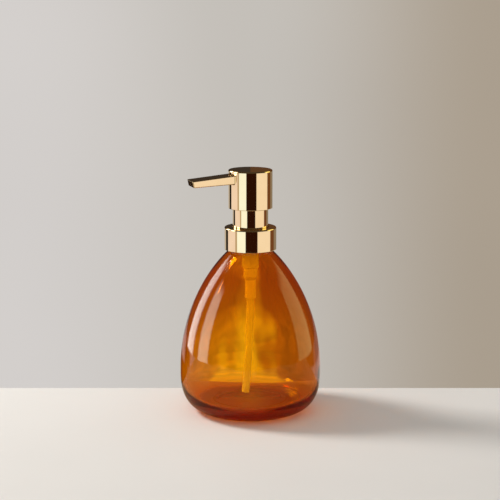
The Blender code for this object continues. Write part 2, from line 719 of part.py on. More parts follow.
# The spout comes out through a window in the shell, from a pocket in the core
window_half = SPOUT_WIDTH / 2 + GAP
window_low = (-HEAD_RADIUS - OVERRUN, -window_half, spout_bottom(HEAD_RADIUS) - GAP)
window_top = spout_top(SPOUT_ROOT) + GAP
combine(head_shell, box_tool(
    "window_cut", window_low, (-SPOUT_ROOT, window_half, window_top), WINDOW_CORNER), "DIFFERENCE")
combine(actuator_core, box_tool(
    "pocket_cut", window_low, (-SPOUT_ROOT + GAP, window_half, window_top), WINDOW_CORNER),
    "DIFFERENCE")
combine(actuator_core, rod_tool(
    "channel_cut", spout_middle(CAVITY_RADIUS / 4), spout_middle(SPOUT_ROOT + OVERRUN),
    LINER_RADIUS + GAP), "DIFFERENCE")
finish_mesh(head_shell)
finish_mesh(actuator_core)
paint(head_shell, GOLD)
paint(actuator_core, NATURAL_PLASTIC)

spout_liner = refile(rod_tool(
    "spout_liner", spout_middle(LINER_START), spout_middle(SPOUT_REACH - TIP_LEAN), LINER_RADIUS),
    PARTS)
combine(spout_liner, rod_tool("liner_cut", spout_middle(LINER_START - OVERRUN),
                              spout_middle(SPOUT_REACH + OVERRUN), LINER_BORE), "DIFFERENCE")
finish_mesh(spout_liner)
paint(spout_liner, DARK_PLASTIC)


# --------------------------------------------------------------------- collar

collar_shell = turned("collar_shell", arc(
    (COLLAR_RADIUS - EDGE_ROUND, COLLAR_TOP - EDGE_ROUND), EDGE_ROUND, 90, 0, 3) + [
    (COLLAR_RADIUS, SHOULDER_Z),
    (COLLAR_BORE, SHOULDER_Z),
    (COLLAR_BORE, COLLAR_ROOF_Z),
    (COLLAR_HOLE, COLLAR_ROOF_Z),
    (COLLAR_HOLE, COLLAR_TOP),
], FINE_STEPS)
paint(collar_shell, GOLD)

collar_insert = turned("collar_insert", [
    (INSERT_RADIUS, INSERT_ROOF_Z + INSERT_ROOF),
    (INSERT_RADIUS, INSERT_BOTTOM),
    (INSERT_BORE, INSERT_BOTTOM),
    (INSERT_BORE, INSERT_ROOF_Z),
    (COLLAR_HOLE, INSERT_ROOF_Z),
    (COLLAR_HOLE, INSERT_ROOF_Z + INSERT_ROOF),
], FINE_STEPS)
cap_ridge = ridge(
    "cap_ridge", INSERT_BORE + RIDGE_ROOTING, CAP_RIDGE_CREST,
    NECK_RIDGE_Z - RIDGE_WIDTH - GAP, CAP_RIDGE_START, CAP_RIDGE_TURNS)
combine(collar_insert, cap_ridge, "UNION")
finish_mesh(collar_insert)
paint(collar_insert, NATURAL_PLASTIC)


# --------------------------------------------------------- bodies and their joints

def body_frame(name, height, parent=None):
    """An empty on the pump's axis that carries the pieces of one moving body."""
    frame = bpy.data.objects.new(name, None)
    PARTS.objects.link(frame)
    frame.location.z = height - (parent.matrix_world.translation.z if parent else 0)
    frame.parent = parent
    bpy.context.view_layer.update()
    return frame


def mount_on(frame, *pieces):
    """Hangs pieces on a body's empty without moving them."""
    for piece in pieces:
        piece.parent = frame
        piece.matrix_parent_inverse = frame.matrix_world.inverted()


pump_frame = body_frame("pump_frame", HOUSING_FLANGE_Z)
collar_frame = body_frame("collar_frame", SHOULDER_Z, pump_frame)
plunger_frame = body_frame("plunger_frame", STEM_BOTTOM, pump_frame)
head_frame = body_frame("head_frame", HUB_BOTTOM, plunger_frame)

mount_on(pump_frame, pump_housing, dip_tube, neck_gasket, stem_guide, stem_seal, sleeve,
         return_spring, valve_cage, inlet_ball)
mount_on(collar_frame, collar_shell, collar_insert)
mount_on(plunger_frame, stem, piston, piston_post, outlet_ball)
mount_on(head_frame, actuator_core, head_shell, spout, spout_liner)
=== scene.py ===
import math

import bmesh
import bpy
from mathutils import Matrix, Vector, noise


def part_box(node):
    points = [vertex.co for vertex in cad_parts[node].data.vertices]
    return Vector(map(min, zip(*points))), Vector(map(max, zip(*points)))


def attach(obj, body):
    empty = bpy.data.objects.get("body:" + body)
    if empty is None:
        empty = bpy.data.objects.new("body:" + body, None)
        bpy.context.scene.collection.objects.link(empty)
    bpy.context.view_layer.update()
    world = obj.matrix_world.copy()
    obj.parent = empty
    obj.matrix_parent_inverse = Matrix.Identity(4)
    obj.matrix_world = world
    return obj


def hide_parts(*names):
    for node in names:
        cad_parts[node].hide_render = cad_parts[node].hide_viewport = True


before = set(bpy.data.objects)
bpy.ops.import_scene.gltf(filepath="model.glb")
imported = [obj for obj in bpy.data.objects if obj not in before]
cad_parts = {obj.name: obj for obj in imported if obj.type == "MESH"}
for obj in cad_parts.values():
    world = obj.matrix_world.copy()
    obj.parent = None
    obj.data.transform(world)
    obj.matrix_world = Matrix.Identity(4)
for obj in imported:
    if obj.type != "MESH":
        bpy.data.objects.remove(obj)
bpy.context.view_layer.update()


# ------------------------------------------------------------------ camera
# A long lens a little above the pump, turned a little towards the spout's side, that
# looks gently down on the whole bottle.
LENS = 104.0
VIEW_TURN = math.radians(-18.0)         # round the bottle, towards the spout
VIEW_REACH = 0.897                      # level distance from the pump's axis
VIEW_HEIGHT = 0.272
VIEW_PITCH = math.radians(10.64)        # looking down
VIEW_AIM = math.radians(0.015)          # a touch to the left of the pump's axis

lens = bpy.data.cameras.new("camera")
lens.lens = LENS
camera = bpy.data.objects.new("camera", lens)
camera.location = (VIEW_REACH * math.sin(VIEW_TURN), -VIEW_REACH * math.cos(VIEW_TURN), VIEW_HEIGHT)
camera.rotation_euler = (math.pi / 2 - VIEW_PITCH, 0.0, VIEW_TURN + VIEW_AIM)
bpy.context.scene.collection.objects.link(camera)
bpy.context.scene.camera = camera
bpy.context.scene.view_settings.view_transform = "Standard"


# ------------------------------------------------------------- shelf and light
# A pale painted shelf whose far edge passes close behind the bottle, in front of a plain
# wall. Metal and glass mirror bright and dark fields set round the room, and rays that go
# through the glass meet a graded light with a soft swirl in it. The shelf carries painted
# shade for glossy rays and a painted glow for rays through the glass.
MM = 0.001
SHELF_BEHIND = 0.047                    # from the pump's axis to the far edge
SHELF_FRONT = 0.39
SHELF_HALF_WIDTH = 0.39
SHELF_THICKNESS = 0.024
SHELF_EDGE = 1.5 * MM
SHELF_COLOUR = (0.70, 0.685, 0.665)
SHELF_MIRRORED_SHADE = (0.34, 0.25, 0.15)     # painted shade: a darker, warmer colour that glossy rays see, for the bottle's shade on it
SHELF_GLOW = 0.22                       # painted light: a glow that rays from the glass see, for light the glass gathers round the foot
SHELF_GLOW_COLOUR = (1.0, 0.50, 0.16)
KEY_POWER = 13.0
KEY_SIZE = 0.30
KEY_COLOUR = (1.0, 0.97, 0.93)
KEY_PLACE = Vector((-0.85, 0.25, 0.85))
KEY_TARGET = Vector((0, 0, 0.05))
GLOSSY_BOUNCES = 16                     # light runs round many times in the bottle's heel
GLASS_BOUNCES = 20
WALL_SPREAD = 0.6
WALL_TONES = [
    (0.0, (0.50, 0.47, 0.45)), (0.36, (0.66, 0.63, 0.61)), (0.5, (0.56, 0.53, 0.49)),
    (0.64, (0.40, 0.34, 0.27)), (1.0, (0.24, 0.20, 0.16))]
SOFT_LIGHT = (0.60, 0.585, 0.56)        # on matt surfaces
INSIDE_LIGHT = (2.3, 2.25, 2.2)         # on what lies inside or behind the glass
SIDE_LIGHT = (0.60, 0.50, 0.40)         # through the glass from the sides and the front
GLOW_SPREAD = 0.06
GLOW_TONES = [
    (0.0, (0.62, 0.44, 0.32)), (0.14, (0.68, 0.50, 0.36)), (0.34, (0.98, 0.93, 0.76)),
    (0.60, (0.94, 0.85, 0.68)), (0.82, (0.46, 0.24, 0.14)), (1.0, (0.38, 0.20, 0.12))]
SHOULDER_SHADE = (0.34, 0.17, 0.09)
SHADE_SHARE = 0.6
MIRRORED_CEILING = (0.06, 0.045, 0.035)
GLASS_CEILING = (0.30, 0.26, 0.22)
DEEP_ENDS = (-13.2, -12.0)              # degrees above the level
HIGH_STARTS = (-7.3, -6.3)
SHADE_STARTS = (-11.2, -9.0)
CEILING_STARTS = (30.0, 38.0)


def ramp(nodes, stops, easing="LINEAR"):
    """A colour ramp whose stops are given as (share, colour)."""
    node = nodes.new("ShaderNodeValToRGB")
    node.color_ramp.interpolation = easing
    elements = node.color_ramp.elements
    while len(elements) < len(stops):
        elements.new(0.5)
    for element, (share, colour) in zip(elements, stops):
        element.position = share
        element.color = (*colour, 1.0)
    return node


def calc(nodes, links, operation, a, b=0.0):
    """A maths node of two values, each a number or another node's output."""
    node = nodes.new("ShaderNodeMath")
    node.operation = operation
    for socket, value in zip(node.inputs, (a, b)):
        if isinstance(value, bpy.types.NodeSocket):
            links.new(value, socket)
        else:
            socket.default_value = value
    return node.outputs[0]


def mix_colours(nodes, links, factor, a, b):
    """Mixes two colours, each a triple or another node's output."""
    node = nodes.new("ShaderNodeMix")
    node.data_type = "RGBA"
    links.new(factor, node.inputs[0])
    for socket, value in ((node.inputs[6], a), (node.inputs[7], b)):
        if isinstance(value, bpy.types.NodeSocket):
            links.new(value, socket)
        else:
            socket.default_value = (*value, 1.0)
    return node.outputs[2]


def span(nodes, links, value, start, end, low=0.0, high=1.0):
    """Runs from low to high as a value goes from start to end."""
    node = nodes.new("ShaderNodeMapRange")
    links.new(value, node.inputs["Value"])
    limits = {"From Min": start, "From Max": end, "To Min": low, "To Max": high}
    for name, limit in limits.items():
        node.inputs[name].default_value = limit
    return node.outputs[0]


def mottle(nodes, links, place, scale, detail, distortion=0.0):
    """Soft patches, from 0 to 1."""
    node = nodes.new("ShaderNodeTexNoise")
    node.inputs["Scale"].default_value = scale
    node.inputs["Detail"].default_value = detail
    node.inputs["Distortion"].default_value = distortion
    links.new(place, node.inputs["Vector"])
    return node.outputs["Fac"]


def dim(nodes, links, colour, factor):
    """A colour times a factor."""
    node = nodes.new("ShaderNodeVectorMath")
    node.operation = "SCALE"
    links.new(colour, node.inputs[0])
    links.new(factor, node.inputs["Scale"])
    return node.outputs[0]


def fields(*spans):
    """Ramp stops for bright and dark fields round the pump: (from degree, to degree, colour)."""
    stops = []
    for start, end, colour in spans:
        stops.append(((start + 180) / 360, colour))
        stops.append(((end + 180) / 360, colour))
    return stops


def rising(nodes, links, up, degrees):
    """Goes from 0 to 1 between two angles above the level."""
    return span(nodes, links, up, *(math.sin(math.radians(angle)) for angle in degrees))


def mirrored_light(nodes, links, share, up, ceiling):
    """The fields that metal and glass mirror, in three heights and a dim ceiling."""
    low = ramp(nodes, fields(
        (-180, -141, (0.55, 0.52, 0.50)), (-137, -119, (0.012, 0.010, 0.008)),
        (-116, -72, (0.92, 0.84, 0.95)), (-69, -63, (0.50, 0.40, 0.30)),
        (-60, -22.5, (1.05, 1.22, 1.45)), (-20.5, 31, (0.024, 0.006, 0.002)),
        (33, 97, (0.97, 0.90, 0.90)), (101, 126, (0.17, 0.07, 0.03)),
        (130, 180, (0.27, 0.23, 0.19))))
    high = ramp(nodes, fields(
        (-180, -133, (0.045, 0.033, 0.025)), (-129, -113, (5.2, 5.0, 4.5)),
        (-109, -98, (0.07, 0.05, 0.04)), (-94, -76, (4.6, 4.3, 3.4)),
        (-73, 85, (0.070, 0.050, 0.030)), (88, 122, (1.5, 1.3, 0.5)),
        (126, 180, (0.105, 0.05, 0.022))))
    deep = ramp(nodes, fields(
        (-180, -172, (0.45, 0.42, 0.38)), (-166, -128, (0.020, 0.008, 0.004)),
        (-120, 180, (0.62, 0.57, 0.50))))
    for field in (low, high, deep):
        links.new(share, field.inputs[0])
    above_deep = rising(nodes, links, up, DEEP_ENDS)
    in_high = rising(nodes, links, up, HIGH_STARTS)
    light = mix_colours(nodes, links, above_deep, deep.outputs[0], low.outputs[0])
    light = mix_colours(nodes, links, in_high, light, high.outputs[0])
    return mix_colours(nodes, links, ceiling, light, MIRRORED_CEILING)


def wall_light(nodes, links, place, right):
    """The plain wall, palest left of the middle and dark on the right, with faint patches."""
    tones = ramp(nodes, WALL_TONES, "EASE")
    links.new(span(nodes, links, right, -WALL_SPREAD, WALL_SPREAD), tones.inputs[0])
    patches = mottle(nodes, links, place, 5.0, 1.0)
    return dim(nodes, links, tones.outputs[0], span(nodes, links, patches, 0.0, 1.0, 0.93, 1.07))


def glass_light(nodes, links, place, right, away, up, ceiling):
    """The graded light that rays through the glass meet: bright in the middle, with a swirl."""
    tones = ramp(nodes, GLOW_TONES, "EASE")
    links.new(span(nodes, links, right, -GLOW_SPREAD, GLOW_SPREAD), tones.inputs[0])
    swirl = mottle(nodes, links, place, 34.0, 3.0, 0.8)
    glow = dim(nodes, links, tones.outputs[0], span(nodes, links, swirl, 0.3, 0.7, 0.78, 1.22))
    shade = calc(nodes, links, "MULTIPLY", rising(nodes, links, up, SHADE_STARTS), SHADE_SHARE)
    light = mix_colours(nodes, links, shade, glow, SHOULDER_SHADE)
    light = mix_colours(nodes, links, span(nodes, links, away, 0.70, 0.35), light, SIDE_LIGHT)
    return mix_colours(nodes, links, ceiling, light, GLASS_CEILING)


def make_room():
    """The world, which shows camera, mirrored, glass and soft rays each their own light."""
    world = bpy.data.worlds.new("room")
    bpy.context.scene.world = world
    world.use_nodes = True
    nodes, links = world.node_tree.nodes, world.node_tree.links
    nodes.clear()
    place = nodes.new("ShaderNodeTexCoord").outputs["Generated"]
    turned_round = nodes.new("ShaderNodeMapping")
    turned_round.inputs["Rotation"].default_value[2] = -VIEW_TURN
    links.new(place, turned_round.inputs["Vector"])
    parts = nodes.new("ShaderNodeSeparateXYZ")
    links.new(turned_round.outputs[0], parts.inputs[0])
    right, away, up = parts.outputs
    toward = calc(nodes, links, "MULTIPLY", away, -1.0)
    heading = calc(nodes, links, "ARCTAN2", right, toward)
    share = span(nodes, links, heading, -math.pi, math.pi)
    ceiling = rising(nodes, links, up, CEILING_STARTS)

    ray = nodes.new("ShaderNodeLightPath").outputs
    light = glass_light(nodes, links, place, right, away, up, ceiling)
    light = mix_colours(nodes, links, ray["Diffuse Depth"], light, INSIDE_LIGHT)
    wall = wall_light(nodes, links, place, right)
    light = mix_colours(nodes, links, ray["Is Camera Ray"], light, wall)
    not_through = calc(nodes, links, "SUBTRACT", 1.0, ray["Is Transmission Ray"])
    is_mirrored = calc(nodes, links, "MULTIPLY", ray["Is Glossy Ray"], not_through)
    mirrored = mirrored_light(nodes, links, share, up, ceiling)
    light = mix_colours(nodes, links, is_mirrored, light, mirrored)
    light = mix_colours(nodes, links, ray["Is Diffuse Ray"], light, SOFT_LIGHT)
    background = nodes.new("ShaderNodeBackground")
    links.new(light, background.inputs["Color"])
    out = nodes.new("ShaderNodeOutputWorld")
    links.new(background.outputs[0], out.inputs["Surface"])


def new_finish(name):
    """A new material, with its nodes, links, shader and the place on the piece."""
    finish = bpy.data.materials.new(name)
    finish.use_nodes = True
    nodes, links = finish.node_tree.nodes, finish.node_tree.links
    place = nodes.new("ShaderNodeTexCoord").outputs["Object"]
    return finish, nodes, links, nodes["Principled BSDF"], place


make_room()
bpy.context.scene.cycles.glossy_bounces = GLOSSY_BOUNCES
bpy.context.scene.cycles.max_bounces = GLASS_BOUNCES
bpy.context.scene.cycles.transmission_bounces = GLASS_BOUNCES

shelf_mesh = bmesh.new()
bmesh.ops.create_cube(shelf_mesh, size=1.0)
for corner in shelf_mesh.verts:
    corner.co.x *= 2 * SHELF_HALF_WIDTH
    corner.co.y = SHELF_BEHIND if corner.co.y > 0 else -SHELF_FRONT
    corner.co.z = 0.0 if corner.co.z > 0 else -SHELF_THICKNESS
bmesh.ops.bevel(shelf_mesh, geom=shelf_mesh.edges, offset=SHELF_EDGE, segments=3, profile=0.5,
                affect="EDGES")
shelf_data = bpy.data.meshes.new("shelf")
shelf_mesh.to_mesh(shelf_data)
shelf_mesh.free()
shelf_data.transform(Matrix.Rotation(VIEW_TURN, 4, "Z"))
shelf = bpy.data.objects.new("shelf", shelf_data)
bpy.context.scene.collection.objects.link(shelf)

shelf_paint_and_painted_light, nodes, links, shader, place = new_finish("shelf_paint_and_painted_light")
shader.inputs["Roughness"].default_value = 0.62
tone = ramp(nodes, [(0.3, tuple(0.97 * c for c in SHELF_COLOUR)), (0.7, SHELF_COLOUR)])
links.new(mottle(nodes, links, place, 9.0, 5.0), tone.inputs[0])
ray = nodes.new("ShaderNodeLightPath").outputs
# Painted shade: glossy rays see the shelf in a darker, warmer colour, as if it lay in the bottle's shade.
paint_and_mirrored_shade = mix_colours(nodes, links, ray["Is Glossy Ray"], tone.outputs[0], SHELF_MIRRORED_SHADE)
links.new(paint_and_mirrored_shade, shader.inputs["Base Color"])
# Painted light: the shelf glows amber to rays through the glass, though it is no lamp.
shader.inputs["Emission Color"].default_value = (*SHELF_GLOW_COLOUR, 1.0)
glow = calc(nodes, links, "MULTIPLY", ray["Is Transmission Ray"], SHELF_GLOW)
links.new(glow, shader.inputs["Emission Strength"])
shelf_data.materials.append(shelf_paint_and_painted_light)

key_light = bpy.data.lights.new("key_light", "AREA")
key_light.size = KEY_SIZE
key_light.energy = KEY_POWER
key_light.color = KEY_COLOUR
key = bpy.data.objects.new("key_light", key_light)
key.location = Matrix.Rotation(VIEW_TURN, 4, "Z") @ KEY_PLACE
key.rotation_euler = (key.location - KEY_TARGET).to_track_quat("Z", "Y").to_euler()
key.visible_glossy = False
key.visible_camera = False
bpy.context.scene.collection.objects.link(key)


# ------------------------------------------------------------------ bottle
# Amber soda-lime glass, blown in a mould: a round belly on a foot ring with a shallow
# push-up, and a drawn-in neck with one start of screw thread for the pump's collar.
BELLY_Z = 27.5 * MM                     # height of the widest circle
FOOT_OUTER = 25.0 * MM
FOOT_INNER = 23.0 * MM
PUSH_UP = 1.8 * MM
PUSH_UP_STEPS = 12
HEEL_REACH = 21.4 * MM
HEEL_DROP = 6.0 * MM
SHOULDER_TOP = (13.0 * MM, 104.3 * MM)
SHOULDER_SLOPE = math.radians(41.8)
SHOULDER_RUN = 15.3 * MM
BELLY_RISE = 39.1 * MM
NECK_RADIUS = 12.4 * MM
NECK_BORE = 9.8 * MM
BORE_END = 102.0 * MM
GLASS_WALL = 3.2 * MM
HEEL_INSIDE = 3.6 * MM                  # how the inner wall turns in to the floor
HEEL_INSIDE_DROP = 12.0 * MM
BELLY_INSIDE_RISE = 37.0 * MM
BORE_RUN = 14.0 * MM
LIP_INNER = 0.4 * MM
LIP_OUTER = 0.6 * MM
NECK_ROOT_RISE = 1.6 * MM
NECK_ROOT_STEP = (0.15 * MM, 0.7 * MM)
INSIDE_FLOOR = 6.0 * MM
THREAD_PITCH = 4.23 * MM
THREAD_Z = 106.9 * MM
THREAD_TURNS = 1.15
THREAD_CREST = 13.55 * MM
THREAD_HALF = 0.75 * MM
THREAD_ROOTING = 0.4 * MM
THREAD_SHOULDER = 0.25 * MM
THREAD_RUNOUT = 0.3 * MM
THREAD_FLAT = 0.55                      # where its flanks turn, of the half width
THREAD_FADE = 8                         # it runs in and out over an eighth of its length
GLASS_ROUND = 160                       # facets round a turn
WAVE_HEIGHT = 0.3 * MM                  # slow unevenness of the blown inner wall
WAVE_FADE = 14.0 * MM
WAVE_MARGIN = 2.0 * MM                  # left even next to the floor and the bore
SAME_WALL = 0.2 * MM
WAVE_REACH = 20.0 * MM
WAVE_SEED = 3.0
WAVE_DRAWN = 0.6                        # waves are drawn out upwards
WAVE_FINE = 0.12                        # share of the finer waves
SHOULDER_SWELL = 0.9 * MM               # the wall is thicker at the shoulder
SWELL_Z = 86.0 * MM
SWELL_REACH = 14.0 * MM
GLASS_INDEX = 1.52
GLASS_COLOUR = (1.0, 0.985, 0.95)
GLASS_SOAK = 900.0                      # how strongly a metre of it swallows blue light
GLASS_TINT = (0.973, 0.834, 0.0)
STIPPLE_ENDS = (PUSH_UP + 0.2 * MM, PUSH_UP + 0.8 * MM)
STIPPLE_ROUGHNESS = 0.55                # a frosted bearing face under the foot


def raise_skin(nodes, links, shader, pattern, strength, depth):
    """Raises a fine relief on a finish."""
    relief = nodes.new("ShaderNodeBump")
    relief.inputs["Strength"].default_value = strength
    relief.inputs["Distance"].default_value = depth
    links.new(pattern, relief.inputs["Height"])
    links.new(relief.outputs[0], shader.inputs["Normal"])


def curve_points(start, pull_a, pull_b, end, steps):
    """Points of a cubic curve in the (radius, height) plane."""
    points = []
    for i in range(steps + 1):
        t = i / steps
        weights = ((1 - t) ** 3, 3 * (1 - t) ** 2 * t, 3 * (1 - t) * t * t, t ** 3)
        knots = (start, pull_a, pull_b, end)
        points.append(tuple(sum(w * k[n] for w, k in zip(weights, knots)) for n in (0, 1)))
    return points


def corner_points(centre, radius, start, end, steps=6):
    """Points of a rounded edge in the (radius, height) plane, between two angles in degrees."""
    angles = [math.radians(start + (end - start) * i / steps) for i in range(steps + 1)]
    return [(centre[0] + radius * math.cos(a), centre[1] + radius * math.sin(a)) for a in angles]


def add_object(name, mesh, sharp=35.0):
    """Turns a bmesh into a scene object, smooth where its faces meet at a small angle."""
    data = bpy.data.meshes.new(name)
    bmesh.ops.recalc_face_normals(mesh, faces=mesh.faces)
    mesh.to_mesh(data)
    mesh.free()
    data.shade_smooth()
    data.set_sharp_from_angle(angle=math.radians(sharp))
    piece = bpy.data.objects.new(name, data)
    bpy.context.scene.collection.objects.link(piece)
    return piece


def lathe(name, outline, rounds=GLASS_ROUND, sharp=35.0):
    """A closed turned piece from its outline in the (radius, height) plane."""
    mesh = bmesh.new()
    dots = [mesh.verts.new((r, 0.0, z)) for r, z in outline]
    lines = [mesh.edges.new(pair) for pair in zip(dots, dots[1:] + dots[:1])]
    bmesh.ops.spin(mesh, geom=dots + lines, cent=(0, 0, 0), axis=(0, 0, 1),
                   angle=2 * math.pi, steps=rounds, use_merge=True)
    bmesh.ops.remove_doubles(mesh, verts=mesh.verts, dist=1e-7)
    bmesh.ops.dissolve_degenerate(mesh, edges=mesh.edges, dist=1e-8)
    return add_object(name, mesh, sharp)


def carve(piece, tool, operation="DIFFERENCE"):
    """Cuts a tool out of a piece, or welds it on, and throws the tool away."""
    cut = piece.modifiers.new("carve", "BOOLEAN")
    cut.operation = operation
    cut.object = tool
    cut.solver = "EXACT"
    seen = piece.evaluated_get(bpy.context.evaluated_depsgraph_get())
    data = bpy.data.meshes.new_from_object(seen)
    piece.modifiers.clear()
    piece.data = data
    bpy.data.objects.remove(tool)
    data.shade_smooth()
    data.set_sharp_from_angle(angle=math.radians(35.0))


bottle_low, bottle_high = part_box("bottle")
belly_radius = (bottle_high.y - bottle_low.y) / 2
neck_top = bottle_high.z
slope = Vector((math.cos(SHOULDER_SLOPE), -math.sin(SHOULDER_SLOPE)))
inside = belly_radius - GLASS_WALL
bore_end = Vector((NECK_BORE, BORE_END))
neck_foot = Vector(SHOULDER_TOP)
shares = [1 - i / PUSH_UP_STEPS for i in range(1, PUSH_UP_STEPS + 1)]
push_up = [(FOOT_INNER * share, PUSH_UP * (1 - share ** 2)) for share in shares]

inside_line = (
    curve_points((FOOT_OUTER - GLASS_WALL, INSIDE_FLOOR), (belly_radius - HEEL_INSIDE, INSIDE_FLOOR),
                 (inside, BELLY_Z - HEEL_INSIDE_DROP), (inside, BELLY_Z), 30)
    + curve_points((inside, BELLY_Z), (inside, BELLY_Z + BELLY_INSIDE_RISE),
                   bore_end + BORE_RUN * slope, bore_end, 50)[1:])

bottle = lathe("amber_bottle", (
    [(0.0, INSIDE_FLOOR)] + inside_line
    + corner_points((NECK_BORE + LIP_INNER, neck_top - LIP_INNER), LIP_INNER, 180, 90)
    + corner_points((NECK_RADIUS - LIP_OUTER, neck_top - LIP_OUTER), LIP_OUTER, 90, 0)
    + [(NECK_RADIUS, SHOULDER_TOP[1] + NECK_ROOT_RISE),
       (NECK_RADIUS + NECK_ROOT_STEP[0], SHOULDER_TOP[1] + NECK_ROOT_STEP[1])]
    + curve_points(neck_foot, neck_foot + SHOULDER_RUN * slope,
                   (belly_radius, BELLY_Z + BELLY_RISE), (belly_radius, BELLY_Z), 64)
    + curve_points((belly_radius, BELLY_Z), (belly_radius, BELLY_Z - HEEL_DROP),
                   (FOOT_OUTER + HEEL_REACH, 0.0), (FOOT_OUTER, 0.0), 40)[1:]
    + [(FOOT_INNER, 0.0)] + push_up))

wall_line = sorted((z, r) for r, z in inside_line)
for vertex in bottle.data.vertices:
    x, y, z = vertex.co
    radius = math.hypot(x, y)
    if not INSIDE_FLOOR + WAVE_MARGIN < z < BORE_END - WAVE_MARGIN:
        continue
    n = next(i for i, (height, r) in enumerate(wall_line) if height > z - 1e-6)
    if abs(radius - wall_line[n][1]) > SAME_WALL:
        continue
    fade = min(1.0, (z - INSIDE_FLOOR) / WAVE_FADE, (BORE_END - z) / WAVE_FADE)
    spot = Vector((x, y, WAVE_DRAWN * z)) / WAVE_REACH + Vector((0.0, 0.0, WAVE_SEED))
    swell = WAVE_HEIGHT * (noise.noise(spot) + WAVE_FINE * noise.noise(3 * spot))
    swell += SHOULDER_SWELL * math.exp(-((z - SWELL_Z) / SWELL_REACH) ** 2)
    vertex.co.xy *= 1 - fade * swell / radius

thread = bmesh.new()
rings = []
ring_count = round(64 * THREAD_TURNS)
for i in range(ring_count + 1):
    angle = 2 * math.pi * THREAD_TURNS * i / ring_count
    fade = min(1.0, THREAD_FADE * i / ring_count, THREAD_FADE * (ring_count - i) / ring_count)
    crest = NECK_RADIUS - THREAD_RUNOUT + (THREAD_CREST - NECK_RADIUS + THREAD_RUNOUT) * fade
    z = THREAD_Z + THREAD_PITCH * THREAD_TURNS * i / ring_count
    root, flank = NECK_RADIUS - THREAD_ROOTING, crest - THREAD_SHOULDER
    section = [(root, -THREAD_HALF), (flank, -THREAD_FLAT * THREAD_HALF), (crest, 0.0),
               (flank, THREAD_FLAT * THREAD_HALF), (root, THREAD_HALF)]
    rings.append([thread.verts.new((r * math.cos(angle), r * math.sin(angle), z + h))
                  for r, h in section])
for ring, following in zip(rings, rings[1:]):
    for n in range(len(ring)):
        m = (n + 1) % len(ring)
        thread.faces.new((ring[n], ring[m], following[m], following[n]))
thread.faces.new(rings[0])
thread.faces.new(reversed(rings[-1]))
carve(bottle, add_object("thread", thread), "UNION")

glass, nodes, links, shader, place = new_finish("amber_glass")
shader.inputs["Base Color"].default_value = (*GLASS_COLOUR, 1.0)
shader.inputs["Transmission Weight"].default_value = 1.0
shader.inputs["IOR"].default_value = GLASS_INDEX
raise_skin(nodes, links, shader, mottle(nodes, links, place, 32.0, 1.5), 0.10, 0.5 * MM)
smear = span(nodes, links, mottle(nodes, links, place, 60.0, 4.0), 0.45, 0.8, 0.0, 0.05)
height = nodes.new("ShaderNodeSeparateXYZ")
links.new(place, height.inputs[0])
stipple = span(nodes, links, height.outputs["Z"], *STIPPLE_ENDS, STIPPLE_ROUGHNESS, 0.0)
links.new(calc(nodes, links, "ADD", smear, stipple), shader.inputs["Roughness"])
depth = nodes.new("ShaderNodeVolumeAbsorption")
depth.inputs["Color"].default_value = (*GLASS_TINT, 1.0)
depth.inputs["Density"].default_value = GLASS_SOAK
links.new(depth.outputs[0], nodes["Material Output"].inputs["Volume"])
bottle.data.materials.clear()
bottle.data.materials.append(glass)
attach(bottle, "bottle")
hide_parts("bottle")


# ---------------------------------------------------------------- pump housing
# One moulding of natural polypropylene: flange, plug in the neck, barrel, valve chamber
# and a tail that the dip tube is pushed into. Slightly see-through, with a satin skin.
SKIN_SPREAD = 0.06                      # how much the skin's roughness drifts


def plastic(name, low, high, rough, bump=0.04, grain=2200.0):
    """Moulded plastic: a colour that drifts a little, flow marks and a fine moulded skin."""
    material, nodes, links, shader, place = new_finish(name)
    drift = mottle(nodes, links, place, 45.0, 3.0)
    tone = ramp(nodes, [(0.3, low), (0.7, high)])
    links.new(drift, tone.inputs[0])
    links.new(tone.outputs[0], shader.inputs["Base Color"])
    spread = span(nodes, links, drift, 0.0, 1.0, rough - SKIN_SPREAD, rough + SKIN_SPREAD)
    links.new(spread, shader.inputs["Roughness"])
    raise_skin(nodes, links, shader, mottle(nodes, links, place, grain, 2.0), bump, 0.1 * MM)
    return material


def dress(node, material):
    """Gives a carried-over CAD node its finish."""
    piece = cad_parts[node]
    piece.data.materials.clear()
    piece.data.materials.append(material)


natural = plastic("natural_plastic", (0.80, 0.79, 0.75), (0.88, 0.87, 0.83), 0.38)
dress("pump_housing", natural)


# ------------------------------------------------------------------ dip tube
# Extruded polyethylene tube, milky and glossy, that bows a little as it hangs and
# reaches nearly to the bottle's floor.
TUBE_SHOWS_THROUGH = 0.1
tube_finish = plastic("tube_plastic", (0.84, 0.84, 0.80), (0.92, 0.92, 0.88), 0.24, 0.02, 600.0)
tube_shader = tube_finish.node_tree.nodes["Principled BSDF"]
tube_shader.inputs["Transmission Weight"].default_value = TUBE_SHOWS_THROUGH
dress("dip_tube", tube_finish)


# ------------------------------------------------------------------- valves
# The cage snaps into the barrel's floor over the inlet ball. Both balls are ground
# stainless steel and close a conical seat.
def stretched(nodes, links, place, along):
    """The place on a piece, stretched so that marks run along it."""
    stretch = nodes.new("ShaderNodeMapping")
    stretch.inputs["Scale"].default_value = along
    links.new(place, stretch.inputs["Vector"])
    return stretch.outputs[0]


def steel(name, along):
    """Stainless steel with fine drawing marks along one axis and a soft shine."""
    material, nodes, links, shader, place = new_finish(name)
    shader.inputs["Metallic"].default_value = 1.0
    marks = mottle(nodes, links, stretched(nodes, links, place, along), 900.0, 3.0)
    tone = ramp(nodes, [(0.3, (0.60, 0.60, 0.61)), (0.7, (0.74, 0.74, 0.75))])
    links.new(marks, tone.inputs[0])
    links.new(tone.outputs[0], shader.inputs["Base Color"])
    links.new(span(nodes, links, marks, 0.0, 1.0, 0.16, 0.34), shader.inputs["Roughness"])
    return material


dress("valve_cage", natural)
ground_steel = steel("ground_steel", (1.0, 1.0, 1.0))
dress("inlet_ball", ground_steel)
dress("outlet_ball", ground_steel)


